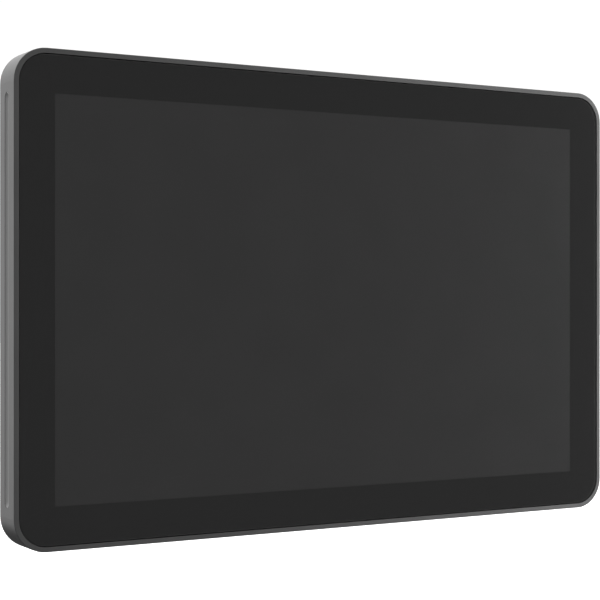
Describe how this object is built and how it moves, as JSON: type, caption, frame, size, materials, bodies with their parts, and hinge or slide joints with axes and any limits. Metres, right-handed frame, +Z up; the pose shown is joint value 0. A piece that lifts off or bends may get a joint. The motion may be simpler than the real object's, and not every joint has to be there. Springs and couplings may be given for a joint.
{
  "type": "touchscreen kiosk terminal",
  "caption": "Slim landscape touchscreen terminal with rounded metal frame, flush black glass, side light slots, rear housing, hinged port door and screw mount.",
  "frame": {"origin": "centre of the square mount pattern, on the flat rear mounting face", "axes": "+Z up, the screen faces -Y, +X is the right-hand side as a viewer sees the screen"},
  "size_m": [0.2462, 0.028, 0.1648],
  "materials": {
    "anodised_frame": "satin, bead-blasted dark grey anodise",
    "cover_glass": "polished, light anti-glare etch",
    "black_print": "satin black screen print on the glass",
    "sensor_film": "smooth film",
    "display_glass": "dark, switched off",
    "acrylic": "clear moulded sheet",
    "diffuser": "frosted, unlit",
    "foam": "closed-cell foam",
    "sheet_steel": "zinc-plated sheet",
    "steel_fasteners": "nickel-plated",
    "black_screws": "black oxide",
    "nickel_plate": "nickel plate",
    "brass": "machined",
    "circuit_board": "green solder mask",
    "led_board": "white solder mask",
    "chip_plastic": "moulded epoxy",
    "flex_film": "amber polyimide",
    "lead_jacket": "extruded jacket",
    "paper_cone": "treated paper",
    "black_aluminium": "black anodised extrusion",
    "cover_plastic": "fine spark texture",
    "button_metal": "satin dark grey anodise",
    "label_film": "blank brushed polyester"
  },
  "bodies": {
    "housing": {"housing_frame": "anodised_frame", "cover_glass": "cover_glass", "border_mask": "black_print", "touch_sensor": "sensor_film", "glass_tape": "foam", "lcd_bezel": "sheet_steel", "lcd_cell": "display_glass", "optical_sheets": "sensor_film", "light_guide": "acrylic", "backlight_led_bar": "led_board", "lcd_rear_tray": "sheet_steel", "lcd_driver_board": "circuit_board", "foam_pads": "foam", "chassis_plate": "sheet_steel", "chassis_screws": "steel_fasteners", "board_standoffs": "brass", "main_board": "circuit_board", "board_screws": "steel_fasteners", "processor": "chip_plastic", "thermal_pad": "foam", "heat_sink": "black_aluminium", "heat_sink_screws": "steel_fasteners", "memory_chips": "chip_plastic", "shield_can": "sheet_steel", "poe_transformer": "chip_plastic", "coin_cell_holder": "chip_plastic", "coin_cell": "sheet_steel", "wireless_module": "circuit_board", "touch_controller_board": "circuit_board", "touch_flex": "flex_film", "display_flex": "flex_film", "antennas": "chip_plastic", "antenna_leads": "lead_jacket", "speaker_boxes": "chip_plastic", "speaker_cones": "paper_cone", "speaker_gaskets": "foam", "speaker_screws": "steel_fasteners", "signal_leads": "lead_jacket", "light_diffusers": "diffuser", "led_strips": "led_board", "led_leads": "lead_jacket", "ethernet_jack": "nickel_plate", "usb_a_ports": "nickel_plate", "usb_c_port": "nickel_plate", "power_jack": "chip_plastic", "audio_jack": "chip_plastic", "rear_cover": "cover_plastic", "mount_inserts": "brass", "cover_screws": "black_screws", "lock_plate": "sheet_steel", "rating_label": "label_film", "button_board": "circuit_board", "button_switches": "chip_plastic", "door_hinge_pin": "steel_fasteners", "keeper_magnets": "nickel_plate"},
    "power_key": {"power_button": "button_metal"},
    "volume_up_key": {"volume_up_button": "button_metal"},
    "volume_down_key": {"volume_down_button": "button_metal"},
    "door": {"port_door": "cover_plastic", "door_magnets": "nickel_plate"}
  },
  "joints": [
    {"name": "power_press", "type": "slide", "parent": "housing", "child": "power_key", "axis": [-1, 0, 0], "range_m": [0, 0.0006], "stiffness_N_per_m": 2500},
    {"name": "volume_up_press", "type": "slide", "parent": "housing", "child": "volume_up_key", "axis": [-1, 0, 0], "range_m": [0, 0.0006], "stiffness_N_per_m": 2500},
    {"name": "volume_down_press", "type": "slide", "parent": "housing", "child": "volume_down_key", "axis": [-1, 0, 0], "range_m": [0, 0.0006], "stiffness_N_per_m": 2500},
    {"name": "door_hinge", "type": "hinge", "parent": "housing", "child": "door", "pos_m": [0, -0.0024, -0.0464], "axis": [1, 0, 0], "range_deg": [0, 100]}
  ]
}
